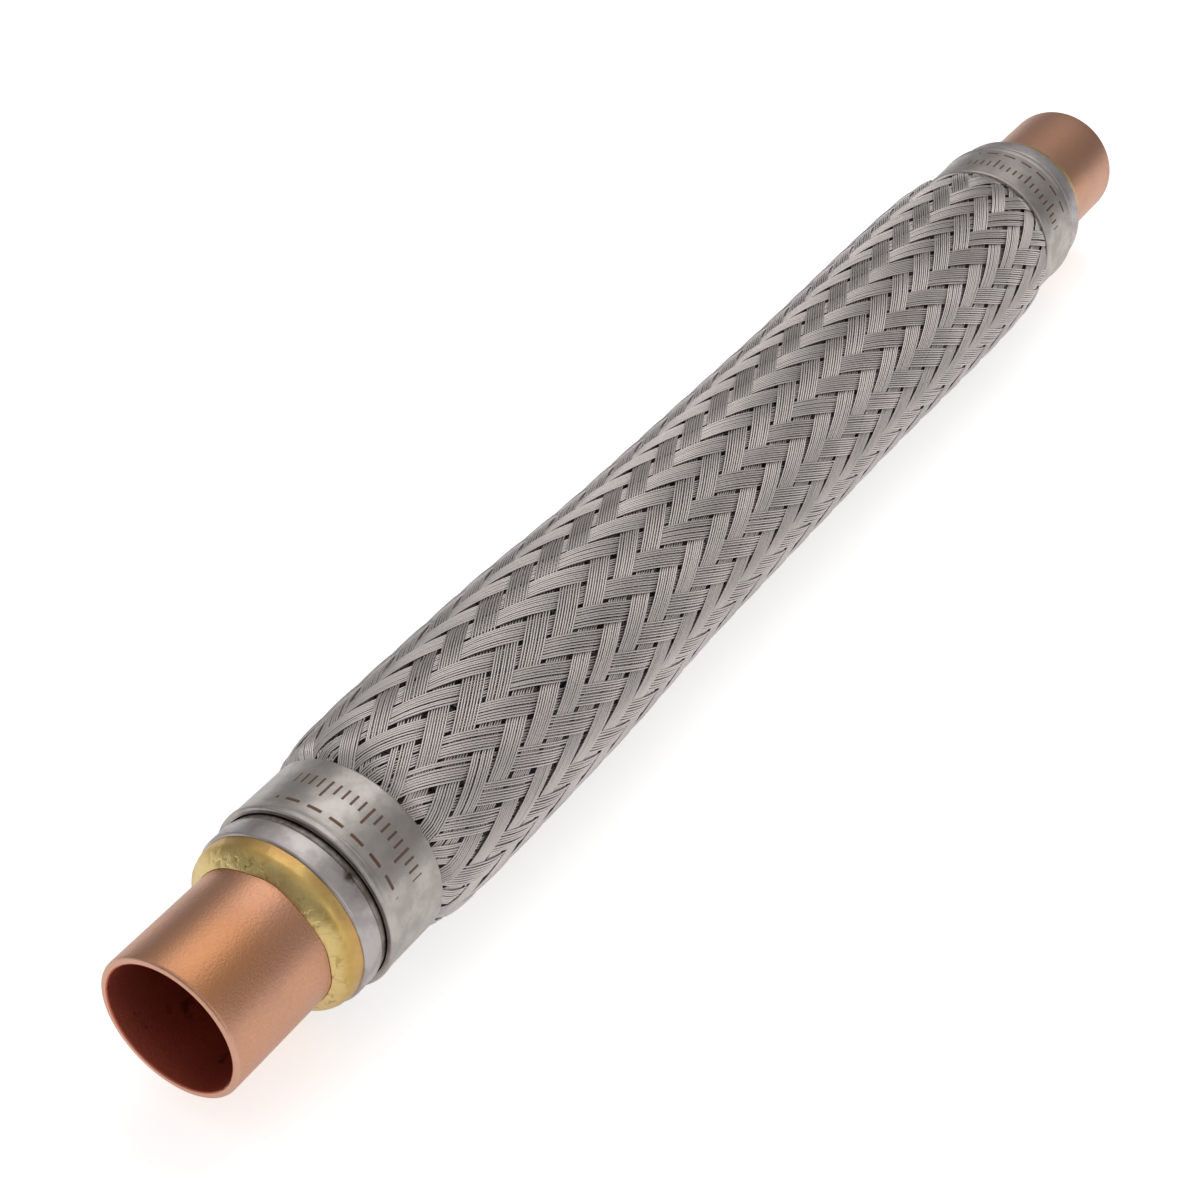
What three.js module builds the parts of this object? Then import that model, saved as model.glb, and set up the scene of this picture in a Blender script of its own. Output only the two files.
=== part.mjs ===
// A braided vibration eliminator for a refrigerant line. A corrugated metal hose lies under a braid
// of flat wire strands. At each end a ferrule, a weld and a steel collar hold it, and a copper
// solder socket is brazed into the collar.
// Millimetres, +Z up. The hose lies along X. In the code, s runs along it from the near rim.

import * as THREE from 'three';

// Whole part
const OVERALL_LENGTH = 265;
const CLEARANCE = 0.3;
const TURNED_SEGMENTS = 24;

// Copper sockets, for a 19 mm tube
const COPPER_OD = 21.4;
const COPPER_WALL = 1.1;
const COPPER_SHOWN = 17.4;
const RIM_ROUND = 0.45;
const RIM_BREAK = 0.15;

// Braze fillets
const BRAZE_LENGTH = 4.1;
const BRAZE_SETBACK = 0.15;
const BRAZE_STEPS = 4;

// Steel collars: a flange that shows and a nose inside the hose's neck
const COLLAR_STEP = 0.6;
const COLLAR_LENGTH = 3.5;
const COLLAR_CHAMFER = 0.3;
const NOSE_WALL = 0.4;
const NOSE_SETBACK = 3.2;
const STOP_HEIGHT = 0.6;
const STOP_THICKNESS = 1;

// Welds in the seam between collar and ferrule
const SEAM_WIDTH = 1;
const WELD_CLEARANCE = 0.2;
const WELD_CROWN = 0.15;

// Ferrules
const FERRULE_LENGTH = 11.2;
const FERRULE_WALL = 0.7;
const FERRULE_LIP_HEIGHT = 0.13;
const FERRULE_LIP_WIDTH = 0.9;
const FERRULE_ROUND = 0.3;

// Corrugated inner hose
const HOSE_WALL = 0.35;
const HOSE_SEGMENTS = 16;
const CREST_HEIGHT = 1.55;
const ROOT_DEPTH = 1.55;
const CORRUGATION_PITCH = 6.4;

// Braid: strands each way, in a weave of two over and two under
const STRANDS = 24;
const LAY_LENGTH = 190;
const RIDGE_HEIGHT = 0.5;
const BRAID_WALL = 0.45;
const TUCK_WALL = 0.6;
const MOUTH_GAP = 0.4;
const MOUTH_STEP = 0.25;
const PINCH_LENGTH = 4;
const NEAR_SWELL_HEIGHT = 0.87;
const NEAR_SWELL_HOLDS = 40;
const NEAR_SWELL_ENDS = 75;
const FAR_SWELL_HEIGHT = 0.75;
const FAR_SWELL_HOLDS = 15;
const FAR_SWELL_ENDS = 68;
const GAP_RINGS = 2;
const GAP_SIZE = 0.22;
const LINING_CELLS = [0, 0.5, 1.5, 2.5, 9.5, 17.5];

// Places along the hose, from the near rim
const brazeStart = COPPER_SHOWN;
const collarStart = brazeStart + BRAZE_LENGTH;
const collarEnd = collarStart + COLLAR_LENGTH;
const ferruleStart = collarEnd + SEAM_WIDTH;
const ferruleEnd = ferruleStart + FERRULE_LENGTH;
const noseEnd = ferruleEnd - NOSE_SETBACK;
const socketBottom = noseEnd - STOP_THICKNESS;
const weaveStart = ferruleEnd + MOUTH_GAP;
const weaveEnd = OVERALL_LENGTH - weaveStart;

// Radii, each from the one inside it
const copperRadius = COPPER_OD / 2;
const copperBore = copperRadius - COPPER_WALL;
const stopRadius = copperBore - STOP_HEIGHT;
const socketRadius = copperRadius + CLEARANCE;
const noseRadius = socketRadius + NOSE_WALL;
const neckRadius = noseRadius + CLEARANCE + HOSE_WALL;
const crestRadius = neckRadius + CREST_HEIGHT;
const rootRadius = neckRadius - ROOT_DEPTH;
const tuckInside = neckRadius + CLEARANCE;
const tuckOutside = tuckInside + TUCK_WALL;
const ferruleBore = tuckOutside + CLEARANCE;
const ferruleRadius = ferruleBore + FERRULE_WALL;
const collarRadius = ferruleRadius - COLLAR_STEP;
const mouthRadius = ferruleRadius + MOUTH_STEP;
const waistRadius = crestRadius + CLEARANCE + BRAID_WALL + RIDGE_HEIGHT;

// The weave's lattice: rows around the hose, cells along it
const rows = 2 * STRANDS;
const rowStep = 2 * Math.PI / rows;
const weaveLength = weaveEnd - weaveStart;
const cells = 2 * Math.round(weaveLength * STRANDS / LAY_LENGTH);
const cellLength = weaveLength / cells;

const finishes = {
  copper: new THREE.MeshStandardMaterial({ color: 0xb9806a, roughness: 0.38, metalness: 1 }),
  braze: new THREE.MeshStandardMaterial({ color: 0xb08d3f, roughness: 0.35, metalness: 1 }),
  collar: new THREE.MeshStandardMaterial({ color: 0x8f8785, roughness: 0.4, metalness: 1 }),
  weld: new THREE.MeshStandardMaterial({ color: 0x4a4038, roughness: 0.5, metalness: 1 }),
  ferrule: new THREE.MeshStandardMaterial({ color: 0xa39d9b, roughness: 0.35, metalness: 1 }),
  braid: new THREE.MeshStandardMaterial({ color: 0xb5adab, roughness: 0.3, metalness: 1 }),
  hose: new THREE.MeshStandardMaterial({ color: 0x8a8583, roughness: 0.35, metalness: 1 }),
};

// A turned ring about X from a closed profile of [s, radius] points
function revolve(profile, segments = TURNED_SEGMENTS) {
  const points = [...profile, profile[0]].map(([s, radius]) => new THREE.Vector2(radius, s));
  return new THREE.LatheGeometry(points, segments).rotateZ(-Math.PI / 2);
}

function named(name, geometry, finish) {
  const mesh = new THREE.Mesh(geometry, finishes[finish]);
  mesh.name = name;
  return mesh;
}

// Straight tube whose rim is rounded outside and has its sharp edge broken inside
function copperStub() {
  const tubeEnd = socketBottom - CLEARANCE;
  const roundMiddle = RIM_ROUND * (1 - Math.SQRT1_2);
  return revolve([
    [0, copperBore + RIM_BREAK],
    [0, copperRadius - RIM_ROUND],
    [roundMiddle, copperRadius - roundMiddle],
    [RIM_ROUND, copperRadius],
    [tubeEnd, copperRadius],
    [tubeEnd, copperBore],
    [RIM_BREAK, copperBore],
  ]);
}

// Convex bead that runs from the tube up the collar's face, a quarter of an ellipse in section
function brazeFillet() {
  const face = collarStart - CLEARANCE;
  const reach = face - brazeStart;
  const height = collarRadius - BRAZE_SETBACK - socketRadius;
  const section = [];
  for (let step = 0; step <= BRAZE_STEPS; step += 1) {
    const turn = step / BRAZE_STEPS * Math.PI / 2;
    const s = face - reach * Math.cos(turn);
    section.push([s, socketRadius + height * Math.sin(turn)]);
  }
  return revolve([...section, [face, socketRadius]]);
}

// Flange, nose and the inner stop that the copper tube seats against
function endCollar() {
  return revolve([
    [collarStart, socketRadius],
    [collarStart, collarRadius - COLLAR_CHAMFER],
    [collarStart + COLLAR_CHAMFER, collarRadius],
    [collarEnd - COLLAR_CHAMFER, collarRadius],
    [collarEnd, collarRadius - COLLAR_CHAMFER],
    [collarEnd, noseRadius],
    [noseEnd, noseRadius],
    [noseEnd, stopRadius],
    [socketBottom, stopRadius],
    [socketBottom, socketRadius],
  ]);
}

// Ring of weld metal that joins the collar to the ends of hose, braid and ferrule
function seamWeld() {
  const start = collarEnd + WELD_CLEARANCE;
  const end = ferruleStart - WELD_CLEARANCE;
  const shoulder = collarRadius - COLLAR_CHAMFER;
  const foot = noseRadius + WELD_CLEARANCE;
  return revolve([
    [start, foot],
    [start, shoulder],
    [(start + end) / 2, shoulder + WELD_CROWN],
    [end, shoulder],
    [end, foot],
  ]);
}

// Crimped band over the end of the braid, with a low lip on its collar side
function ferrule() {
  const lipRadius = ferruleRadius + FERRULE_LIP_HEIGHT;
  return revolve([
    [ferruleStart, ferruleBore],
    [ferruleStart, lipRadius - FERRULE_ROUND],
    [ferruleStart + FERRULE_ROUND, lipRadius],
    [ferruleStart + FERRULE_LIP_WIDTH, lipRadius],
    [ferruleStart + FERRULE_LIP_WIDTH + FERRULE_LIP_HEIGHT, ferruleRadius],
    [ferruleEnd - FERRULE_ROUND, ferruleRadius],
    [ferruleEnd, ferruleRadius - FERRULE_ROUND],
    [ferruleEnd, ferruleBore],
  ]);
}

// Corrugated hose: plain necks under the ferrules and even corrugations between them
function corrugatedHose() {
  const neckEnd = ferruleEnd;
  const farNeckEnd = OVERALL_LENGTH - neckEnd;
  const crests = Math.round((farNeckEnd - neckEnd) / CORRUGATION_PITCH);
  const halfPitch = (farNeckEnd - neckEnd) / (2 * crests + 1);
  const firstRoot = neckEnd + halfPitch / 2;
  const outside = [[ferruleStart, neckRadius], [neckEnd, neckRadius]];
  for (let wave = 0; wave <= 2 * crests; wave += 1) {
    const isRoot = wave % 2 === 0;
    outside.push([firstRoot + wave * halfPitch, isRoot ? rootRadius : crestRadius]);
  }
  outside.push([farNeckEnd, neckRadius], [OVERALL_LENGTH - ferruleStart, neckRadius]);
  const inside = outside.map(([s, radius]) => [s, radius - HOSE_WALL]).reverse();
  return revolve([...outside, ...inside], HOSE_SEGMENTS);
}

// How far the braid stands out over its waist, at a distance from one ferrule's mouth
function swell(distance, height, holdsTo, endsAt) {
  const bulge = height * (1 - THREE.MathUtils.smoothstep(distance, holdsTo, endsAt));
  const pinch = (waistRadius + height - mouthRadius) * Math.exp(-distance / PINCH_LENGTH);
  return bulge - pinch;
}

// Radius of the strands' crowns: pinched at the mouths, fuller beside them, slim in the middle
function crownRadius(s) {
  const near = swell(s - weaveStart, NEAR_SWELL_HEIGHT, NEAR_SWELL_HOLDS, NEAR_SWELL_ENDS);
  const far = swell(weaveEnd - s, FAR_SWELL_HEIGHT, FAR_SWELL_HOLDS, FAR_SWELL_ENDS);
  return waistRadius + near + far;
}

// The braid as one wall. Crossings of two strands are the lattice's crowns, and the points between
// them are low. Every strand floats over two crossings, which gives a ridge of two crowns. In the
// rings next to each ferrule the low points are open, as diamond gaps.
function braidedSleeve() {
  const positions = [];
  const indices = [];

  const addPoint = (s, angle, radius) => {
    positions.push(s, -radius * Math.sin(angle), radius * Math.cos(angle));
    return positions.length / 3 - 1;
  };
  const addTriangle = (a, b, c) => {
    if (a !== b && b !== c && c !== a) indices.push(a, b, c);
  };
  const addQuad = (a, b, c, d) => {
    addTriangle(a, b, c);
    addTriangle(a, c, d);
  };
  const addRing = (s, radius, firstAngle) => Array.from(
    { length: rows }, (_, row) => addPoint(s, firstAngle + row * rowStep, radius));
  const joinRings = (left, right) => {
    for (let row = 0; row < rows; row += 1) {
      const next = (row + 1) % rows;
      addQuad(left[row], left[next], right[next], right[row]);
    }
  };

  const rowAngle = (row) => (row + 0.5) * rowStep;
  const cellPlace = (cell) => weaveStart + cell * cellLength;
  const isCrown = (row, cell) => (row + cell) % 2 === 1;
  const isGap = (row, cell) => {
    const fromMouth = Math.min(cell, cells - cell);
    return !isCrown(row, cell) && fromMouth >= 1 && fromMouth <= GAP_RINGS;
  };

  // Four points about a lattice point, radiusAt(s, turn) giving the radius a turn off its row
  const addGapRim = (row, cell, radiusAt) => {
    const s = cellPlace(cell);
    const reach = GAP_SIZE * cellLength;
    const turn = GAP_SIZE * rowStep;
    const angle = rowAngle(row);
    return {
      left: addPoint(s - reach, angle, radiusAt(s - reach, 0)),
      up: addPoint(s, angle + turn, radiusAt(s, turn)),
      right: addPoint(s + reach, angle, radiusAt(s + reach, 0)),
      down: addPoint(s, angle - turn, radiusAt(s, turn)),
    };
  };

  // Outside: one point or gap rim for each place of the lattice
  const valleyRadius = (s) => crownRadius(s) - RIDGE_HEIGHT;
  const lattice = [];
  const outerRims = new Map();
  for (let cell = 0; cell <= cells; cell += 1) {
    const column = [];
    const s = cellPlace(cell);
    for (let row = 0; row < rows; row += 1) {
      if (isGap(row, cell)) {
        const rim = addGapRim(row, cell, valleyRadius);
        outerRims.set(`${row},${cell}`, rim);
        column.push(rim);
      } else {
        const radius = isCrown(row, cell) ? crownRadius(s) : valleyRadius(s);
        const point = addPoint(s, rowAngle(row), radius);
        column.push({ left: point, up: point, right: point, down: point });
      }
    }
    lattice.push(column);
  }

  // One square of the lattice, parted along a strand's ridge or along the valley beside it
  const addSquare = (row, cell) => {
    const next = (row + 1) % rows;
    const rising = row % 4 === 0;
    const falling = row % 4 === 2;
    const here = lattice[cell][row];
    const above = lattice[cell][next];
    const beyond = lattice[cell + 1][next];
    const beside = lattice[cell + 1][row];
    const crownsRise = isCrown(row, cell);
    const isRidge = crownsRise ? rising : falling;
    // In turn: crown, first low point, crown, second low point
    const [crownA, lowA1, lowA2, crownB, lowB1, lowB2] = crownsRise
      ? [here.up, above.down, above.right, beyond.down, beside.up, beside.left]
      : [above.right, beyond.left, beyond.down, beside.up, here.right, here.up];
    if (isRidge) {
      addQuad(crownA, lowA1, lowA2, crownB);
      addQuad(crownB, lowB1, lowB2, crownA);
    } else {
      addTriangle(crownA, lowA1, lowB2);
      addTriangle(crownB, lowB1, lowA2);
      addQuad(lowA1, lowA2, lowB1, lowB2);
    }
  };
  for (let cell = 0; cell < cells; cell += 1) {
    for (let row = 0; row < rows; row += 1) addSquare(row, cell);
  }

  // Inside: flat facets, one under each row, with the gaps cut through them
  const liningRadius = (s) => valleyRadius(s) - BRAID_WALL;
  const facetShrink = Math.cos(rowStep / 2);
  const liningCells = [...LINING_CELLS, ...LINING_CELLS.map((cell) => cells - cell).reverse()];
  const lining = liningCells.map((cell) => {
    const s = cellPlace(cell);
    return { cell, s, radius: liningRadius(s), ring: addRing(s, liningRadius(s), 0) };
  });
  const addFacet = (row, near, far) => {
    const next = (row + 1) % rows;
    const corners = [near.ring[row], near.ring[next], far.ring[next], far.ring[row]];
    const [c0, c1, c2, c3] = corners;
    const gapCell = Math.round((near.cell + far.cell) / 2);
    const outer = far.cell - near.cell === 1 && outerRims.get(`${row},${gapCell}`);
    if (!outer) {
      addQuad(c3, c2, c1, c0);
      return;
    }
    const slope = (far.radius - near.radius) / (far.s - near.s);
    const flat = (s, turn) => (near.radius + slope * (s - near.s)) * facetShrink / Math.cos(turn);
    const { left, up, right, down } = addGapRim(row, gapCell, flat);
    addTriangle(c1, c0, left);
    addTriangle(c2, c1, up);
    addTriangle(c3, c2, right);
    addTriangle(c0, c3, down);
    addTriangle(left, up, c1);
    addTriangle(up, right, c2);
    addTriangle(right, down, c3);
    addTriangle(down, left, c0);
    addQuad(outer.left, outer.up, up, left);
    addQuad(outer.up, outer.right, right, up);
    addQuad(outer.right, outer.down, down, right);
    addQuad(outer.down, outer.left, left, down);
  };
  for (let band = 0; band + 1 < lining.length; band += 1) {
    for (let row = 0; row < rows; row += 1) addFacet(row, lining[band], lining[band + 1]);
  }

  // Flattened ends tucked under the ferrules
  const tuckShoulder = ferruleEnd + MOUTH_GAP / 2;
  const halfRow = rowStep / 2;
  const nearOuter = addRing(ferruleStart, tuckOutside, halfRow);
  const nearShoulder = addRing(tuckShoulder, tuckOutside, halfRow);
  const nearInner = addRing(ferruleStart, tuckInside, 0);
  const nearStep = addRing(tuckShoulder, tuckInside, 0);
  const farOuter = addRing(OVERALL_LENGTH - ferruleStart, tuckOutside, halfRow);
  const farShoulder = addRing(OVERALL_LENGTH - tuckShoulder, tuckOutside, halfRow);
  const farInner = addRing(OVERALL_LENGTH - ferruleStart, tuckInside, 0);
  const farStep = addRing(OVERALL_LENGTH - tuckShoulder, tuckInside, 0);
  joinRings(nearInner, nearOuter);
  joinRings(nearOuter, nearShoulder);
  joinRings(nearShoulder, lattice[0].map((place) => place.up));
  joinRings(lattice[cells].map((place) => place.up), farShoulder);
  joinRings(farShoulder, farOuter);
  joinRings(farOuter, farInner);
  joinRings(farInner, farStep);
  joinRings(farStep, lining[lining.length - 1].ring);
  joinRings(lining[0].ring, nearStep);
  joinRings(nearStep, nearInner);

  const geometry = new THREE.BufferGeometry();
  geometry.setAttribute('position', new THREE.Float32BufferAttribute(positions, 3));
  geometry.setIndex(indices);
  geometry.computeVertexNormals();
  return geometry;
}

// The turned pieces of one end, in order from the rim
function endPieces(side) {
  const end = new THREE.Group();
  end.add(named(`copper_stub_${side}`, copperStub(), 'copper'));
  end.add(named(`braze_fillet_${side}`, brazeFillet(), 'braze'));
  end.add(named(`end_collar_${side}`, endCollar(), 'collar'));
  end.add(named(`seam_weld_${side}`, seamWeld(), 'weld'));
  end.add(named(`ferrule_${side}`, ferrule(), 'ferrule'));
  return end;
}

const nearEnd = endPieces('near');
const farEnd = endPieces('far');
farEnd.rotation.z = Math.PI;
farEnd.position.x = OVERALL_LENGTH;

const braid = named('braided_sleeve', braidedSleeve(), 'braid');
const hose = named('corrugated_hose', corrugatedHose(), 'hose');

// The part lies on the fullest rings of its braid, with its origin under its middle
braid.geometry.computeBoundingBox();
const part = new THREE.Group();
part.add(nearEnd, farEnd, braid, hose);
part.position.set(-OVERALL_LENGTH / 2, 0, -braid.geometry.boundingBox.min.z);

export default part;
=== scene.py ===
import math

import bpy
import numpy as np
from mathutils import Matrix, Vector, noise


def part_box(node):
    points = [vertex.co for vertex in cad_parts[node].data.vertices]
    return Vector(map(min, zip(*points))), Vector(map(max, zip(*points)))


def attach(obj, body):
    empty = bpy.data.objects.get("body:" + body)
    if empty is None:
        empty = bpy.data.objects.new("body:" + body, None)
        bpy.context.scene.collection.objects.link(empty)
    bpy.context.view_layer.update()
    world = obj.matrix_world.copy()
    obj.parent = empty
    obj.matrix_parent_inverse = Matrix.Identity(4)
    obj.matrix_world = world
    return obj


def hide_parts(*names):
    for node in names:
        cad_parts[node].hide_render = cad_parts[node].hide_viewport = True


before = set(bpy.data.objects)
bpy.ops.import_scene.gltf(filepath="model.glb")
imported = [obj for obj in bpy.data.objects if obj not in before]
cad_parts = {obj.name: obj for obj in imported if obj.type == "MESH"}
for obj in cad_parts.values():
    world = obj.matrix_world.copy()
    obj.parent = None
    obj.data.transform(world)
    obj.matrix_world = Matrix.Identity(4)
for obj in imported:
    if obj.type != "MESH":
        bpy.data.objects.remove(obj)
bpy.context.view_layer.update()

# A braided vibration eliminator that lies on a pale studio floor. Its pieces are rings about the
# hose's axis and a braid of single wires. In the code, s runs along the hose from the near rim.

MM = 0.001

# Camera, found from the photograph's circles and outline
LENS = 71.48
SENSOR = 36
CAMERA_FROM_RIM = Vector((-138.1, -147.1, 212.9)) * MM
CAMERA_TURN = math.radians(32.03)
CAMERA_DROP = math.radians(37.28)

# Braid: the lattice of the CAD sleeve, filled with single wires
STRANDS = 24
CELLS = 48
WIRES_PER_STRAND = 8
WIRE = 0.31 * MM
WIRE_LIFT = 0.26 * MM
WIRE_SIDES = 6
WIRE_STEPS = 146
STRAND_FILL = 0.85
MOUTH_FILL = 0.76
MOUTH_REACH = 24 * MM
MOUTH_STEP = 0.25 * MM
MOUTH_GAP = 0.4 * MM
TUCK_LENGTH = 1.6 * MM
TUCK_DROP = 0.97 * MM
TUCK_RISE = (-0.6 * MM, 1.6 * MM)
PINCH_LENGTH = 4 * MM
WAIST_OVER_CREST = 1.25 * MM
NEAR_SWELL = (0.87 * MM, 40 * MM, 75 * MM)
FAR_SWELL = (0.75 * MM, 15 * MM, 68 * MM)
INSIDE_BOX = 0.04 * MM

# Unevenness of the braid, as shares of a strand's spacing where it isn't in millimetres
FILL_SCATTER = 0.03
MOUTH_WANDER = 0.06
WANDER = 0.03
CELLS_PER_WANDER = 7
WIRE_SCATTER = 0.008
SPLIT_SHARE = 0.5
SPLIT_GAP = 0.07
EDGE_SLUMP = 0.06 * MM
WIRE_JITTER = 0.012 * MM

# Unevenness of the turned pieces
COPPER_DENT = 0.035 * MM
BEAD_WAVE = 0.1 * MM
BEAD_RIPPLE = 0.08 * MM
BEAD_SINK = 0.07 * MM
FOOT_WAVE = 0.5 * MM
WELD_RIPPLES = 70
WELD_RIPPLE = 0.02 * MM
WELD_WAVE = 0.05 * MM
WELD_SINK = 0.04 * MM

# Plain marks on the ferrules: around from the top and along from the collar, in millimetres
MARKS_ARC = (-5.2, 17.2)
TICK_ROW = (6.0, 8.0)
LONG_TICK_ROW = (4.8, 8.0)
DASH_ROW = (2.4, 3.0)
TICK_SPACING = 1.3
LONG_TICK_SPACING = 6.5
DASH_SPACING = 3.4

# Scorched spot on the near collar
BURN_TURN = math.radians(43)
BURN_SETBACK = 0.3 * MM

# Studio: places and sizes in metres, power in watts, and the sky's glow at two heights
LAMP_AIM = Vector((-0.03, 0, 0))
OVERHEAD = {"place": (0.3, 0.12, 0.7), "size": 0.6, "power": 1.1}
SIDE_FILL = {"place": (-0.1, -0.6, 0.18), "size": 0.5, "power": 0.5}
SKY_HEIGHTS = (0.3, 0.95)
SKY_GLOW = (0.26, 0.62)
FLOOR_HALF_SIDE = 4
FLOOR_GLOW = 0.6
FLOOR_GLOW_IN_METAL = 0.4


# Places and radii read from the CAD nodes
def span(node):
    low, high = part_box(node)
    return low.x, high.x


def radius_of(node):
    low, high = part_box(node)
    return (high.z - low.z) / 2


copper_low, copper_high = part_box("copper_stub_near")
AXIS_HEIGHT = (copper_low.z + copper_high.z) / 2
NEAR_RIM = copper_low.x
HALF_LENGTH = -NEAR_RIM
COPPER_RADIUS = radius_of("copper_stub_near")
COLLAR_RADIUS = radius_of("end_collar_near")
WELD_RADIUS = radius_of("seam_weld_near")
FERRULE_LIP_RADIUS = radius_of("ferrule_near")
HOSE_CREST_RADIUS = radius_of("corrugated_hose")
COPPER_END = copper_high.x - NEAR_RIM
BRAZE_START = span("braze_fillet_near")[0] - NEAR_RIM
COLLAR_START, NOSE_END = (x - NEAR_RIM for x in span("end_collar_near"))
WELD_START, WELD_END = (x - NEAR_RIM for x in span("seam_weld_near"))
FERRULE_START, FERRULE_END = (x - NEAR_RIM for x in span("ferrule_near"))
WEAVE_START = FERRULE_END + MOUTH_GAP
WEAVE_END = 2 * HALF_LENGTH - WEAVE_START

# Sizes that the boxes don't show
CLEARANCE = 0.3 * MM
WELD_CLEARANCE = 0.2 * MM
COPPER_WALL = 1.1 * MM
BEAD_STEP = 0.3 * MM
FAR_BEAD_STEP = 0.7 * MM
STOP_HEIGHT = 0.6 * MM
STOP_THICKNESS = 1 * MM
NOSE_WALL = 0.4 * MM
FERRULE_WALL = 0.7 * MM
FERRULE_LIP_HEIGHT = 0.13 * MM
FERRULE_LIP_WIDTH = 0.9 * MM
FERRULE_LIP_SLOPE = 0.5 * MM
HOSE_WALL = 0.35 * MM
HOSE_DEPTH = 3.1 * MM
HOSE_CREST_HEIGHT = 1.55 * MM
HOSE_PITCH = 6.4 * MM
COLLAR_END = WELD_START - WELD_CLEARANCE
FERRULE_RADIUS = FERRULE_LIP_RADIUS - FERRULE_LIP_HEIGHT
NOSE_RADIUS = COPPER_RADIUS + CLEARANCE + NOSE_WALL
NECK_RADIUS = HOSE_CREST_RADIUS - HOSE_CREST_HEIGHT
BORE_RADIUS = COPPER_RADIUS - COPPER_WALL
WAIST_RADIUS = HOSE_CREST_RADIUS + WAIST_OVER_CREST
TOUCH = 0.02 * MM

# Segments of the turned pieces
TURNED_SEGMENTS = 144
BEAD_SEGMENTS = 192
WELD_SEGMENTS = 288
HOSE_SEGMENTS = 64


# Meshes
def quad_object(name, points, quads):
    """An object of quads from arrays of points and of corner numbers, shaded smooth."""
    mesh = bpy.data.meshes.new(name)
    mesh.vertices.add(len(points))
    mesh.vertices.foreach_set("co", points.astype(np.float32).ravel())
    mesh.loops.add(quads.size)
    mesh.loops.foreach_set("vertex_index", quads.astype(np.int32).ravel())
    mesh.polygons.add(len(quads))
    mesh.polygons.foreach_set("loop_start", np.arange(0, quads.size, 4, dtype=np.int32))
    mesh.update(calc_edges=True)
    mesh.validate()
    mesh.shade_smooth()
    piece = bpy.data.objects.new(name, mesh)
    bpy.context.scene.collection.objects.link(piece)
    return piece


def rounded(corners, steps=5):
    """A closed outline of (s, radius, rounding) corners, each softened by a short curve."""
    outline = []
    places = [Vector(corner[:2]) for corner in corners]
    for index, corner in enumerate(places):
        before = places[index - 1] - corner
        after = places[(index + 1) % len(places)] - corner
        size = corners[index][2]
        if not size:
            outline.append(tuple(corner))
            continue
        start = corner + before.normalized() * min(size, before.length / 2)
        end = corner + after.normalized() * min(size, after.length / 2)
        for step in range(steps + 1):
            t = step / steps
            curve = start * (1 - t) ** 2 + corner * 2 * t * (1 - t) + end * t ** 2
            outline.append(tuple(curve))
    return outline


def with_steps(outline, longest):
    """The outline with points added along its long sides."""
    filled = []
    for index, start in enumerate(outline):
        end = outline[(index + 1) % len(outline)]
        count = max(1, math.ceil(math.dist(start, end) / longest))
        for step in range(count):
            t = step / count
            filled.append((start[0] + (end[0] - start[0]) * t, start[1] + (end[1] - start[1]) * t))
    return filled


def turned(name, outline, at_far_end=False, lump=None, segments=TURNED_SEGMENTS):
    """A ring about the hose's axis. lump gives (shift along, shift outward) at a point."""
    section = np.array(outline)
    angles = np.arange(segments) * 2 * math.pi / segments
    s = np.tile(section[:, 0], (segments, 1))
    radius = np.tile(section[:, 1], (segments, 1))
    if lump:
        for row, angle in enumerate(angles):
            for column in range(len(section)):
                along, outward = lump(s[row, column], radius[row, column], angle)
                s[row, column] += along
                radius[row, column] += outward
    turn = angles[:, None]
    side = -1 if at_far_end else 1
    x = side * (s + NEAR_RIM)
    y = -side * radius * np.sin(turn)
    z = AXIS_HEIGHT + radius * np.cos(turn)
    points = np.stack([x, y, z], axis=-1).reshape(-1, 3)
    row, column = np.meshgrid(np.arange(segments), np.arange(len(section)), indexing="ij")
    next_row = (row + 1) % segments
    next_column = (column + 1) % len(section)
    corners = [(row, column), (next_row, column), (next_row, next_column), (row, next_column)]
    quads = np.stack([r * len(section) + c for r, c in corners], axis=-1).reshape(-1, 4)
    piece = quad_object(name, points, quads)
    piece.data.set_sharp_from_angle(angle=math.radians(50))
    return piece


def perlin(s, radius, angle, scale, seed):
    """Smooth noise from -1 to 1 at a point of a ring, with scale in cycles per metre."""
    place = Vector((s, radius * math.cos(angle), radius * math.sin(angle))) * scale
    return noise.noise(place + Vector((seed, seed * 2, -seed)))


# Shader graphs
class Number:
    """A number in a shader graph, with the usual arithmetic."""

    def __init__(self, finish, socket):
        self.finish = finish
        self.socket = socket

    def math(self, operation, *others):
        node = self.finish.node("ShaderNodeMath")
        node.operation = operation
        for slot, value in zip(node.inputs, (self, *others)):
            self.finish.put(slot, value)
        return Number(self.finish, node.outputs[0])

    def __add__(self, other):
        return self.math("ADD", other)

    def __sub__(self, other):
        return self.math("SUBTRACT", other)

    def __mul__(self, other):
        return self.math("MULTIPLY", other)

    def ramp(self, low, high, start=0.0, end=1.0):
        """Goes smoothly from start to end while this goes from low to high."""
        node = self.finish.node("ShaderNodeMapRange")
        node.interpolation_type = "SMOOTHSTEP"
        for slot, value in zip(node.inputs, (self, low, high, start, end)):
            self.finish.put(slot, value)
        return Number(self.finish, node.outputs[0])

    def within(self, limits, edge):
        """1 between the two limits and 0 outside them, with soft edges of that width."""
        low, high = limits
        return self.ramp(low, low + edge) * self.ramp(high - edge, high, 1, 0)

    def each(self, spacing, share, edge):
        """1 for the first share of every spacing, then 0, with an edge that is a share too."""
        return (self * (1 / spacing)).math("FRACT").ramp(share, share + edge, 1, 0)


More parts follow.
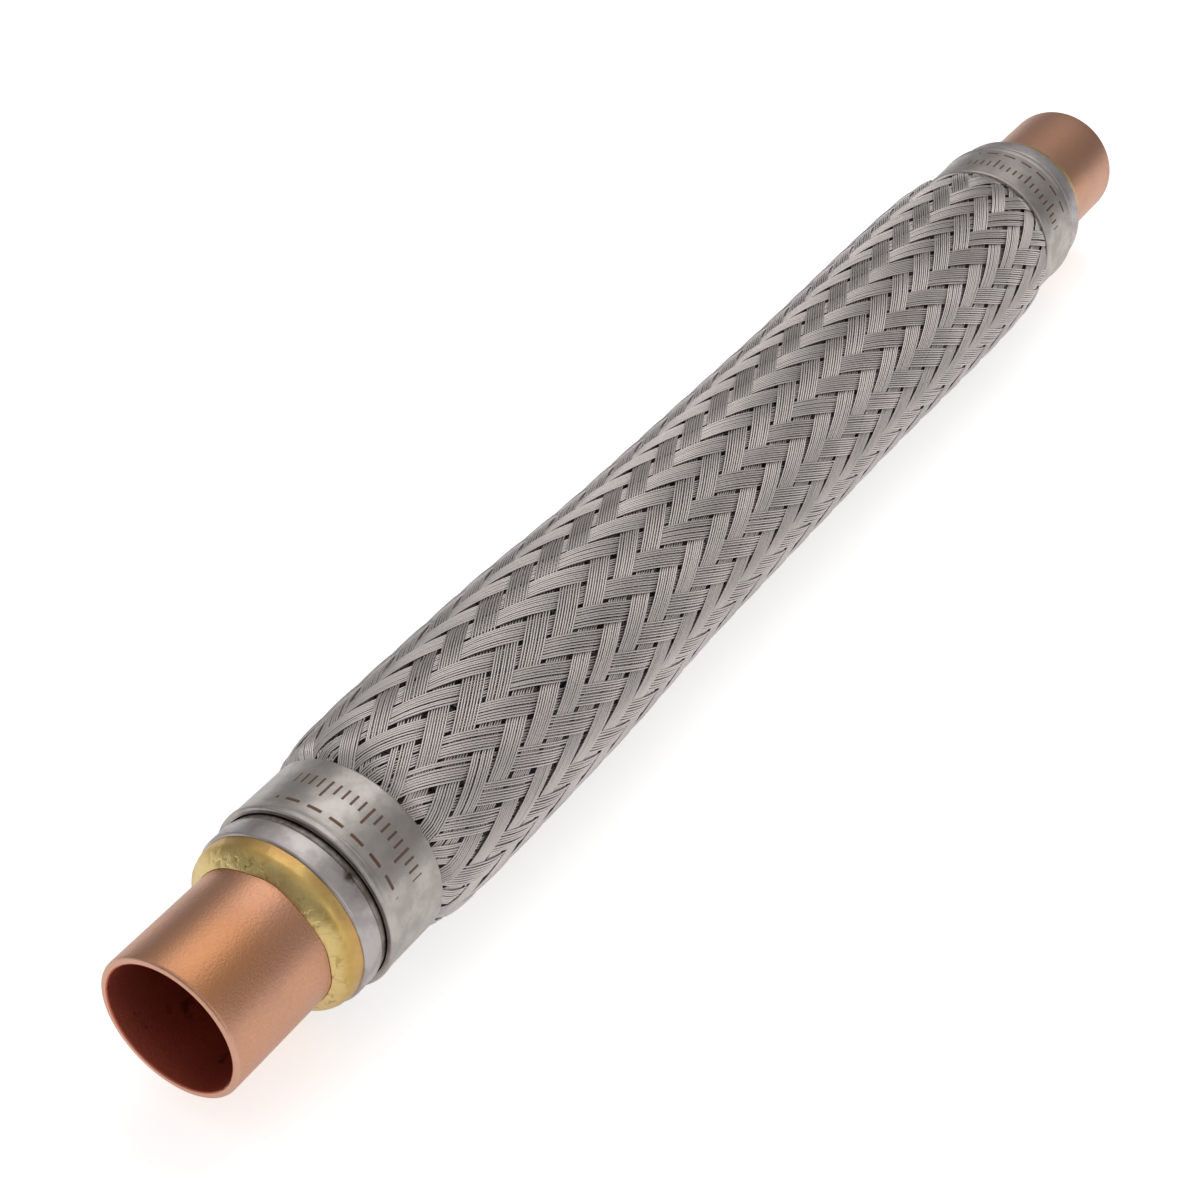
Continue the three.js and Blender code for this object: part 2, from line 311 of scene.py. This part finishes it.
class Finish:
    """A material, built up node by node."""

    def __init__(self, name, metallic=1.0):
        self.material = bpy.data.materials.new(name)
        self.material.use_nodes = True
        self.tree = self.material.node_tree
        self.shader = self.tree.nodes["Principled BSDF"]
        self.shader.inputs["Metallic"].default_value = metallic

    def node(self, kind):
        return self.tree.nodes.new(kind)

    def put(self, slot, value):
        if isinstance(value, Number):
            self.tree.links.new(value.socket, slot)
        else:
            slot.default_value = value

    def place(self):
        """The x, y and z of the shaded point, in metres."""
        split = self.node("ShaderNodeSeparateXYZ")
        place = self.node("ShaderNodeTexCoord").outputs["Object"]
        self.tree.links.new(place, split.inputs[0])
        return [Number(self, socket) for socket in split.outputs]

    def along(self):
        """Millimetres from the nearer rim."""
        x, _, _ = self.place()
        return (x.math("ABSOLUTE") * -1 + HALF_LENGTH) * (1 / MM)

    def from_axis(self):
        """Millimetres from the hose's axis."""
        _, y, z = self.place()
        rise = z - AXIS_HEIGHT
        return (y * y + rise * rise).math("SQRT") * (1 / MM)

    def around(self):
        """Turn from the top towards the front, in radians."""
        _, y, z = self.place()
        return (y * -1).math("ARCTAN2", z - AXIS_HEIGHT)

    def grain(self, scale, stretch=(1, 1, 1), detail=3.0, roughness=0.5):
        """Noise from 0 to 1, with scale in cycles per millimetre."""
        mapping = self.node("ShaderNodeMapping")
        place = self.node("ShaderNodeTexCoord").outputs["Object"]
        self.tree.links.new(place, mapping.inputs["Vector"])
        mapping.inputs["Scale"].default_value = [scale / MM * part for part in stretch]
        cloud = self.node("ShaderNodeTexNoise")
        cloud.inputs["Scale"].default_value = 1
        cloud.inputs["Detail"].default_value = detail
        cloud.inputs["Roughness"].default_value = roughness
        self.tree.links.new(mapping.outputs[0], cloud.inputs["Vector"])
        return Number(self, cloud.outputs["Fac"])

    def blend(self, amount, first, second):
        """A colour between two, which are triples or the result of an earlier blend."""
        node = self.node("ShaderNodeMix")
        node.data_type = "RGBA"
        self.put(node.inputs["Factor"], amount)
        for slot, value in zip((node.inputs[6], node.inputs[7]), (first, second)):
            if isinstance(value, tuple):
                slot.default_value = (*value, 1)
            else:
                self.tree.links.new(value, slot)
        return node.outputs[2]

    def finish(self, color, roughness, bump=None, bump_height=0.02):
        """Links the colour and roughness, and a bump whose height is in millimetres."""
        self.tree.links.new(color, self.shader.inputs["Base Color"])
        self.put(self.shader.inputs["Roughness"], roughness)
        if bump is not None:
            node = self.node("ShaderNodeBump")
            node.inputs["Distance"].default_value = bump_height * MM
            self.put(node.inputs["Height"], bump)
            self.tree.links.new(node.outputs[0], self.shader.inputs["Normal"])
        return self.material


def copper_finish():
    """Satin copper, with a painted orange reflection band on the near end and a dark, stained
    inside.
    """
    made = Finish("copper_finish")
    along = made.along()
    turn = made.around()
    cloud = made.grain(0.12, detail=4)
    fine = made.grain(3.0, detail=3, roughness=0.6)
    outside = made.blend(cloud.ramp(0.35, 0.68), (0.66, 0.35, 0.22), (0.6, 0.33, 0.23))
    near_end = made.place()[0].ramp(-0.05, 0.05, 1, 0)
    # Painted reflection: a deeper orange band on one side of the near end, strongest towards the
    # rim, where the overhead lamp's reflection falls.
    painted_reflection_band = turn.ramp(-0.5, 0.35) * turn.ramp(0.5, 1.3, 1, 0) * near_end
    outside = made.blend(painted_reflection_band * along.ramp(8, 19, 0.75, 0.1), outside, (0.56, 0.235, 0.085))
    outside = made.blend(fine.ramp(0.35, 0.65, 0, 0.3), outside, (0.5, 0.24, 0.16))
    outside = made.blend(along.ramp(0.05, 0.5, 0.6, 0), outside, (0.74, 0.44, 0.33))
    stains = made.grain(0.3, detail=5).ramp(0.6, 0.74)
    inside = made.blend(stains, (0.6, 0.17, 0.11), (0.2, 0.06, 0.04))
    bore = BORE_RADIUS / MM
    is_inside = made.from_axis().ramp(bore + 0.15, bore + 0.25, 1, 0)
    color = made.blend(is_inside, outside, inside)
    roughness = is_inside * 0.15 + cloud * 0.1 + fine * 0.1 + 0.27
    return made.finish(color, roughness, fine, 0.045)


def braze_finish():
    """Olive gold, wrinkled at the foot and tinted orange towards the collar, with a painted
    highlight along the foot and painted shade in the hollows of the wrinkles.
    """
    made = Finish("braze_finish")
    cloud = made.grain(0.2, detail=4)
    wrinkles = made.grain(0.9, detail=3).ramp(0.32, 0.6)
    fine = made.grain(4, detail=3)
    from_foot = made.along() + cloud * 1.6 - 0.8 - BRAZE_START / MM
    gold = made.blend(cloud.ramp(0.35, 0.65), (0.68, 0.475, 0.165), (0.56, 0.37, 0.105))
    # Painted highlight: a paler yellow band along the foot of the bead.
    gold = made.blend(from_foot.ramp(0.8, 2.4, 0.8, 0), gold, (0.82, 0.64, 0.29))
    edge = from_foot.ramp(1.6, 4.2, 0, 0.8)
    color = made.blend(edge * cloud.ramp(0.3, 0.6, 0.3, 1), gold, (0.6, 0.34, 0.14))
    foot = from_foot.ramp(0.6, 2.6, 1, 0) * made.grain(0.14).ramp(0.38, 0.55, 0.15, 1)
    # Painted shade: darkens the hollows of the wrinkles near the foot, in patches.
    color = made.blend(wrinkles.ramp(0.0, 0.25, 0.5, 0) * foot, color, (0.14, 0.11, 0.03))
    relief = wrinkles * (foot * 0.75 + 0.12) + fine * 0.15
    return made.finish(color, fine * 0.14 + cloud * 0.15 + 0.22, relief, 0.1)


def burn(made):
    """The scorched spot where the near weld was tacked, 1 at its middle and 0 outside it."""
    middle = (
        NEAR_RIM + COLLAR_END - BURN_SETBACK,
        -COLLAR_RADIUS * math.sin(BURN_TURN),
        AXIS_HEIGHT + COLLAR_RADIUS * math.cos(BURN_TURN),
    )
    x, y, z = (part - centre for part, centre in zip(made.place(), middle))
    distance = (x * x + y * y + z * z).math("SQRT") * (1 / MM)
    return (distance + made.grain(1.2) * 1.2 - 0.6).ramp(0.3, 1.3, 1, 0)


def collar_finish():
    """Turned steel, darker beside the weld."""
    made = Finish("collar_finish")
    lines = made.grain(7, (1, 0.06, 0.06), detail=4, roughness=0.6)
    cloud = made.grain(0.4, detail=5)
    beside_weld = (made.along() - COLLAR_END / MM).ramp(-0.5, 0.1, 0, 0.4)
    color = made.blend(cloud.ramp(0.4, 0.62), (0.53, 0.49, 0.475), (0.43, 0.39, 0.38))
    color = made.blend(beside_weld, color, (0.24, 0.2, 0.19))
    color = made.blend(burn(made) * 0.9, color, (0.07, 0.035, 0.015))
    return made.finish(color, lines * 0.2 + cloud * 0.12 + 0.24, lines, 0.012)


def weld_finish():
    """Dark, heat-tinted and rippled."""
    made = Finish("weld_finish")
    cloud = made.grain(0.4, detail=4)
    ripple = made.grain(2.5, detail=3)
    color = made.blend(cloud.ramp(0.4, 0.65), (0.3, 0.27, 0.25), (0.16, 0.13, 0.11))
    color = made.blend(burn(made), color, (0.03, 0.02, 0.015))
    return made.finish(color, ripple * 0.2 + 0.35, ripple, 0.05)


def marks(made):
    """Rows of plain ticks and dashes, 1 on a mark and 0 beside it."""
    arc = made.around() * (FERRULE_RADIUS / MM)
    along = made.along() - FERRULE_START / MM
    ticks = along.within(TICK_ROW, 0.1) * arc.each(TICK_SPACING, 0.24, 0.06)
    long_ticks = along.within(LONG_TICK_ROW, 0.1) * arc.each(LONG_TICK_SPACING, 0.05, 0.02)
    dashes = along.within(DASH_ROW, 0.1) * arc.each(DASH_SPACING, 0.62, 0.04)
    return ticks.math("MAXIMUM", long_ticks).math("MAXIMUM", dashes) * arc.within(MARKS_ARC, 0.2)


def ferrule_finish():
    """Satin steel with etched marks."""
    made = Finish("ferrule_finish")
    lines = made.grain(6, (1, 0.12, 0.12), detail=4, roughness=0.65)
    cloud = made.grain(0.3, detail=6, roughness=0.6)
    etched = marks(made)
    steel = made.blend(cloud.ramp(0.36, 0.64), (0.54, 0.495, 0.465), (0.42, 0.385, 0.36))
    steel = made.blend(burn(made) * 0.6, steel, (0.12, 0.06, 0.03))
    color = made.blend(etched * cloud.ramp(0.25, 0.6, 1.0, 0.8), steel, (0.15, 0.065, 0.03))
    return made.finish(color, lines * 0.18 + cloud * 0.12 + etched * 0.2 + 0.24, lines, 0.012)


def wire_finish():
    """Drawn stainless wire."""
    made = Finish("wire_finish")
    cloud = made.grain(0.09, detail=3)
    fine = made.grain(1.6, detail=3)
    color = made.blend(cloud.ramp(0.35, 0.65), (0.68, 0.625, 0.605), (0.6, 0.555, 0.535))
    color = made.blend(fine.ramp(0.45, 0.75, 0, 0.12), color, (0.42, 0.39, 0.38))
    return made.finish(color, fine * 0.03 + 0.34)


def hose_finish():
    """Rolled sheet, in the shade of the braid."""
    made = Finish("hose_finish")
    cloud = made.grain(0.3, detail=4)
    color = made.blend(cloud.ramp(0.35, 0.65), (0.36, 0.34, 0.33), (0.22, 0.2, 0.2))
    return made.finish(color, cloud * 0.2 + 0.3, cloud, 0.02)


def floor_finish():
    """Matt white that glows a little to the camera, and less where metal mirrors it."""
    made = Finish("floor_paint", metallic=0)
    made.shader.inputs["Base Color"].default_value = (0.9, 0.9, 0.9, 1)
    made.shader.inputs["Roughness"].default_value = 0.9
    made.shader.inputs["Specular IOR Level"].default_value = 0
    made.shader.inputs["Emission Color"].default_value = (1, 1, 1, 1)
    path = made.node("ShaderNodeLightPath").outputs
    seen = Number(made, path["Is Camera Ray"]) * FLOOR_GLOW
    mirrored = Number(made, path["Is Glossy Ray"]) * FLOOR_GLOW_IN_METAL
    made.put(made.shader.inputs["Emission Strength"], seen + mirrored)
    return made.material


# Pieces
def settle(piece, material, slot, *nodes):
    """Gives a piece its finish and its place in the model, in the stead of CAD nodes."""
    piece.data.materials.append(material)
    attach(piece, "root")
    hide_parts(*nodes)
    return piece


def copper_stub(end, far):
    """A tube with a rounded rim and faint dents outside."""
    outline = rounded([
        (0, BORE_RADIUS, 0.25 * MM),
        (0, COPPER_RADIUS, 0.5 * MM),
        (COPPER_END, COPPER_RADIUS, 0),
        (COPPER_END, BORE_RADIUS, 0),
    ])
    outline = with_steps(outline, 2.5 * MM)

    def lump(s, radius, angle):
        if radius < (BORE_RADIUS + COPPER_RADIUS) / 2:
            return 0, 0
        return 0, COPPER_DENT * (perlin(s, radius, angle, 90, 3 + far) - 1)

    piece = turned(f"copper_tube_{end}", outline, far, lump)
    return settle(piece, finishes["copper"], "copper", f"copper_stub_{end}")


def braze_bead(end, far):
    """A bead of braze metal with a steep, wavy foot on the copper and a sloping shoulder."""
    reach = COLLAR_START - BRAZE_START - FOOT_WAVE
    height = COLLAR_RADIUS - (FAR_BEAD_STEP if far else BEAD_STEP) - COPPER_RADIUS
    steep_share = 0.84
    steep_travel = 0.6
    steps = 20
    outline = []
    for step in range(steps + 1):
        travel = 1 - math.cos(step / steps * math.pi / 2)
        climb = math.sin(min(1, travel / steep_travel) * math.pi / 2) ** 0.9
        s = COLLAR_START - TOUCH - reach * (1 - travel)
        rise = height * (steep_share * climb + (1 - steep_share) * travel)
        outline.append((s, COPPER_RADIUS + rise))
    outline.append((COLLAR_START - TOUCH / 2, COPPER_RADIUS))

    def lump(s, radius, angle):
        share = min(1, max(0, (radius - COPPER_RADIUS) / height))
        toward_collar = (s - BRAZE_START) / reach
        broad = perlin(0, radius, angle, 110, 11 + far)
        small = perlin(s, radius, angle, 420, 17 + far)
        foot = perlin(0, COPPER_RADIUS, angle, 190, 23 + far)
        along = FOOT_WAVE * foot * max(0, 1 - toward_collar * 1.6)
        outward = share * (BEAD_WAVE * broad + BEAD_RIPPLE * small - BEAD_SINK)
        return along, outward

    piece = turned(f"braze_bead_{end}", outline, far, lump, BEAD_SEGMENTS)
    return settle(piece, finishes["braze"], "braze", f"braze_fillet_{end}")


def collar_ring(end, far):
    """A flange that shows and a nose with the copper's socket and stop."""
    socket = COPPER_RADIUS + CLEARANCE
    stop = BORE_RADIUS - STOP_HEIGHT
    outline = rounded([
        (COLLAR_START, socket, 0.1 * MM),
        (COLLAR_START, COLLAR_RADIUS, 0.45 * MM),
        (COLLAR_END, COLLAR_RADIUS, 0.4 * MM),
        (COLLAR_END, NOSE_RADIUS, 0),
        (NOSE_END, NOSE_RADIUS, 0.1 * MM),
        (NOSE_END, stop, 0.1 * MM),
        (NOSE_END - STOP_THICKNESS, stop, 0.1 * MM),
        (NOSE_END - STOP_THICKNESS, socket, 0),
    ])
    piece = turned(f"collar_ring_{end}", outline, far)
    return settle(piece, finishes["collar"], "collar_steel", f"end_collar_{end}")


def weld_ring(end, far):
    """A narrow crowned ring with the ripples of a weld."""
    foot = NOSE_RADIUS + WELD_CLEARANCE
    shoulder = WELD_RADIUS - 0.1 * MM
    outline = rounded([
        (COLLAR_END + TOUCH, foot, 0),
        (COLLAR_END + TOUCH, shoulder, 0.1 * MM),
        ((WELD_START + WELD_END) / 2, WELD_RADIUS, 0.25 * MM),
        (FERRULE_START - TOUCH, shoulder, 0.1 * MM),
        (FERRULE_START - TOUCH, foot, 0),
    ])

    def lump(s, radius, angle):
        if radius < WELD_RADIUS - 0.2 * MM:
            return 0, 0
        ripple = math.sin(angle * WELD_RIPPLES + 3 * perlin(0, radius, angle, 60, 5))
        wave = perlin(s, radius, angle, 300, 7)
        return 0, WELD_RIPPLE * ripple + WELD_WAVE * wave - WELD_SINK

    piece = turned(f"weld_ring_{end}", outline, far, lump, WELD_SEGMENTS)
    return settle(piece, finishes["weld"], "weld", f"seam_weld_{end}")


def ferrule_band(end, far):
    """A steel band with a low lip beside the weld."""
    bore = FERRULE_RADIUS - FERRULE_WALL
    lip_end = FERRULE_START + FERRULE_LIP_WIDTH
    outline = rounded([
        (FERRULE_START, bore, 0),
        (FERRULE_START, FERRULE_LIP_RADIUS, 0.4 * MM),
        (lip_end, FERRULE_LIP_RADIUS, 0.3 * MM),
        (lip_end + FERRULE_LIP_SLOPE, FERRULE_RADIUS, 0.5 * MM),
        (FERRULE_END, FERRULE_RADIUS, 0.35 * MM),
        (FERRULE_END, bore, 0.15 * MM),
    ])
    piece = turned(f"ferrule_band_{end}", outline, far)
    return settle(piece, finishes["ferrule"], "ferrule_steel", f"ferrule_{end}")


def bellows():
    """The corrugated hose, with the round crests and roots of rolled sheet."""
    length = 2 * (HALF_LENGTH - FERRULE_END)
    crests = round(length / HOSE_PITCH)
    half_pitch = length / (2 * crests + 1)
    first_root = FERRULE_END + half_pitch / 2
    middle = HOSE_CREST_RADIUS - HOSE_DEPTH / 2
    steps = 4
    outside = [(FERRULE_START, NECK_RADIUS), (FERRULE_END, NECK_RADIUS)]
    for step in range(2 * crests * steps + 1):
        swing = math.cos(step / steps * math.pi)
        round_swing = math.copysign(abs(swing) ** 0.6, swing)
        s = first_root + step / steps * half_pitch
        outside.append((s, middle - HOSE_DEPTH / 2 * round_swing))
    outside.append((2 * HALF_LENGTH - FERRULE_END, NECK_RADIUS))
    outside.append((2 * HALF_LENGTH - FERRULE_START, NECK_RADIUS))
    inside = [(s, radius - HOSE_WALL) for s, radius in reversed(outside)]
    piece = turned("bellows_hose", outside + inside, segments=HOSE_SEGMENTS)
    return settle(piece, finishes["hose"], "hose_steel", "corrugated_hose")


# Braid
def smooth(value, low, high):
    """0 below low, 1 above high, and a smooth rise between them."""
    t = np.clip((value - low) / (high - low), 0, 1)
    return t * t * (3 - 2 * t)


def swell(distance, height, holds_to, ends_at):
    """What one end adds to the waist: a pinch at the mouth and a bulge beside it."""
    mouth = FERRULE_RADIUS + MOUTH_STEP
    bulge = height * (1 - smooth(distance, holds_to, ends_at))
    pinch = (WAIST_RADIUS + height - mouth) * np.exp(-np.maximum(distance, 0) / PINCH_LENGTH)
    return bulge - pinch


def crown_radius(s):
    """Outer radius of the braid: pinched at the mouths, fuller beside them, slim in the middle."""
    return WAIST_RADIUS + swell(s - WEAVE_START, *NEAR_SWELL) + swell(WEAVE_END - s, *FAR_SWELL)


def wire_places():
    """Distances from the near rim at which a wire has points, closer together at the mouths."""
    mouth = np.array([-0.9, -0.55, -0.35, -0.15, 0.1, 0.5]) * MM
    first = np.concatenate([[-TUCK_LENGTH], mouth])
    middle = np.linspace(WEAVE_START + 1.1 * MM, WEAVE_END - 1.1 * MM, WIRE_STEPS)
    return np.concatenate([WEAVE_START + first, middle, (WEAVE_END - first)[::-1]])


def strand_lines(strand, lay, mouth, cells, rng):
    """Where one strand's wires run: offsets within it, and rows around by wire and step."""
    near_mouth = np.exp(-np.maximum(mouth, 0) / MOUTH_REACH)
    fill = STRAND_FILL + (MOUTH_FILL - STRAND_FILL) * near_mouth
    fill = fill * (1 + FILL_SCATTER * rng.standard_normal())
    wander = MOUTH_WANDER * rng.standard_normal() * near_mouth
    wander = wander + WANDER * np.sin(cells / CELLS_PER_WANDER + rng.uniform(0, 6.3))
    wires = np.arange(WIRES_PER_STRAND)[:, None]
    offsets = (wires + 0.5) / WIRES_PER_STRAND - 0.5
    offsets = offsets + WIRE_SCATTER * rng.standard_normal((WIRES_PER_STRAND, 1))
    beyond_split = wires >= rng.integers(2, WIRES_PER_STRAND - 1)
    if rng.random() < SPLIT_SHARE:
        offsets = offsets + SPLIT_GAP * (beyond_split - 0.5) * near_mouth
    line = 2 * strand + 1 + 2 * offsets * fill + wander
    return offsets, line + lay * cells


def strand_wires(strand, lay, rng):
    """Centre lines of one strand's wires, as (places, radii, angles) arrays by wire and step.

    lay is 1 where the angle grows along the hose and -1 where it falls. Rows of crossings lie
    half a strand's spacing apart, and a strand floats over two crossings and under two."""
    s = wire_places()
    cells = (s - WEAVE_START) / (WEAVE_END - WEAVE_START) * CELLS
    mouth = np.minimum(s - WEAVE_START, WEAVE_END - s)
    offsets, row = strand_lines(strand, lay, mouth, cells, rng)
    peak = -2 * strand if lay > 0 else 4 - 2 * strand
    swing = np.cos((row + lay * cells - peak) * math.pi / 4)
    lift = swing * (1.25 - 0.25 * swing ** 2)
    tucked = smooth(mouth, *TUCK_RISE)
    outer = crown_radius(s) - TUCK_DROP * (1 - tucked) - INSIDE_BOX
    slump = EDGE_SLUMP * (2 * offsets) ** 2 * (1 + lift) / 2
    jitter = WIRE_JITTER * rng.standard_normal((WIRES_PER_STRAND, 1))
    height = WIRE_LIFT * (0.4 + 0.6 * tucked)
    radius = outer - WIRE / 2 - height + height * lift - slump - np.abs(jitter)
    angle = (row + 0.5) * math.pi / STRANDS
    return np.tile(s, (WIRES_PER_STRAND, 1)), radius, angle


def wires_mesh(name, lines):
    """One mesh of thin wires along centre lines, an array by wire, step and axis."""
    wires, steps, _ = lines.shape
    tangent = np.gradient(lines, axis=1)
    tangent /= np.linalg.norm(tangent, axis=2, keepdims=True)
    outward = lines - np.array([0, 0, AXIS_HEIGHT])
    outward[:, :, 0] = 0
    outward -= tangent * (outward * tangent).sum(axis=2, keepdims=True)
    outward /= np.linalg.norm(outward, axis=2, keepdims=True)
    sideways = np.cross(tangent, outward)
    turns = np.arange(WIRE_SIDES)[:, None] * 2 * math.pi / WIRE_SIDES
    spokes = np.cos(turns) * outward[:, :, None] + np.sin(turns) * sideways[:, :, None]
    points = lines[:, :, None] + WIRE / 2 * spokes
    number = np.arange(points[..., 0].size).reshape(wires, steps, WIRE_SIDES)
    following = np.roll(number, -1, axis=2)
    sides = [number[:, :-1], following[:, :-1], following[:, 1:], number[:, 1:]]
    quads = [np.stack(sides, axis=-1).reshape(-1, 4)]
    for side in range(1, WIRE_SIDES - 2, 2):
        quads.append(number[:, 0, [side + 2, side + 1, side, 0]])
        quads.append(number[:, -1, [0, side, side + 1, side + 2]])
    return quad_object(name, points.reshape(-1, 3), np.concatenate(quads))


def braid():
    """Four pieces: the odd and the even strands of each lay."""
    rng = np.random.default_rng(7)
    for lay, lay_name in ((1, "right"), (-1, "left")):
        for parity, parity_name in ((0, "even"), (1, "odd")):
            lines = []
            for strand in range(parity, STRANDS, 2):
                s, radius, angle = strand_wires(strand, lay, rng)
                y = -radius * np.sin(angle)
                z = AXIS_HEIGHT + radius * np.cos(angle)
                lines.append(np.stack([s + NEAR_RIM, y, z], axis=-1))
            piece = wires_mesh(f"braid_{lay_name}_{parity_name}", np.concatenate(lines))
            settle(piece, finishes["wire"], "braid_wire", "braided_sleeve")


# Studio
def camera():
    data = bpy.data.cameras.new("photo_camera")
    data.lens = LENS
    data.sensor_width = SENSOR
    data.clip_start = 0.01
    eye = bpy.data.objects.new("photo_camera", data)
    eye.location = Vector((NEAR_RIM, 0, AXIS_HEIGHT)) + CAMERA_FROM_RIM
    eye.rotation_euler = (math.pi / 2 - CAMERA_DROP, 0, CAMERA_TURN - math.pi / 2)
    bpy.context.scene.collection.objects.link(eye)
    bpy.context.scene.camera = eye


def softbox(name, place, size, power):
    data = bpy.data.lights.new(name, "AREA")
    data.size = size
    data.energy = power
    light = bpy.data.objects.new(name, data)
    light.location = place
    light.rotation_euler = (LAMP_AIM - light.location).to_track_quat("-Z", "Y").to_euler()
    bpy.context.scene.collection.objects.link(light)


def studio_world():
    """Surroundings that are dim near the horizon and paler overhead, and white to the camera."""
    world = bpy.data.worlds.new("studio")
    world.use_nodes = True
    tree = world.node_tree
    surround = tree.nodes["Background"]
    direction = tree.nodes.new("ShaderNodeTexCoord").outputs["Generated"]
    split = tree.nodes.new("ShaderNodeSeparateXYZ")
    tree.links.new(direction, split.inputs[0])
    fade = tree.nodes.new("ShaderNodeMapRange")
    fade.interpolation_type = "SMOOTHSTEP"
    for slot, value in zip(fade.inputs[1:5], (*SKY_HEIGHTS, *SKY_GLOW)):
        slot.default_value = value
    tree.links.new(split.outputs["Z"], fade.inputs[0])
    tree.links.new(fade.outputs[0], surround.inputs["Color"])
    white = tree.nodes.new("ShaderNodeBackground")
    white.inputs["Color"].default_value = (1, 1, 1, 1)
    seen = tree.nodes.new("ShaderNodeLightPath").outputs["Is Camera Ray"]
    mix = tree.nodes.new("ShaderNodeMixShader")
    tree.links.new(seen, mix.inputs[0])
    tree.links.new(surround.outputs[0], mix.inputs[1])
    tree.links.new(white.outputs[0], mix.inputs[2])
    tree.links.new(mix.outputs[0], tree.nodes["World Output"].inputs["Surface"])
    bpy.context.scene.world = world


def floor():
    side = FLOOR_HALF_SIDE
    corners = np.array([(-side, -side, 0), (side, -side, 0), (side, side, 0), (-side, side, 0)])
    plane = quad_object("floor", corners, np.array([[0, 1, 2, 3]]))
    plane.data.materials.append(floor_finish())


camera()
finishes = {
    "copper": copper_finish(),
    "braze": braze_finish(),
    "collar": collar_finish(),
    "weld": weld_finish(),
    "ferrule": ferrule_finish(),
    "wire": wire_finish(),
    "hose": hose_finish(),
}
for end, far in (("near", False), ("far", True)):
    copper_stub(end, far)
    braze_bead(end, far)
    collar_ring(end, far)
    weld_ring(end, far)
    ferrule_band(end, far)
bellows()
braid()

studio_world()
floor()
softbox("overhead", **OVERHEAD)
softbox("side_fill", **SIDE_FILL)

bpy.context.scene.view_settings.view_transform = "Standard"
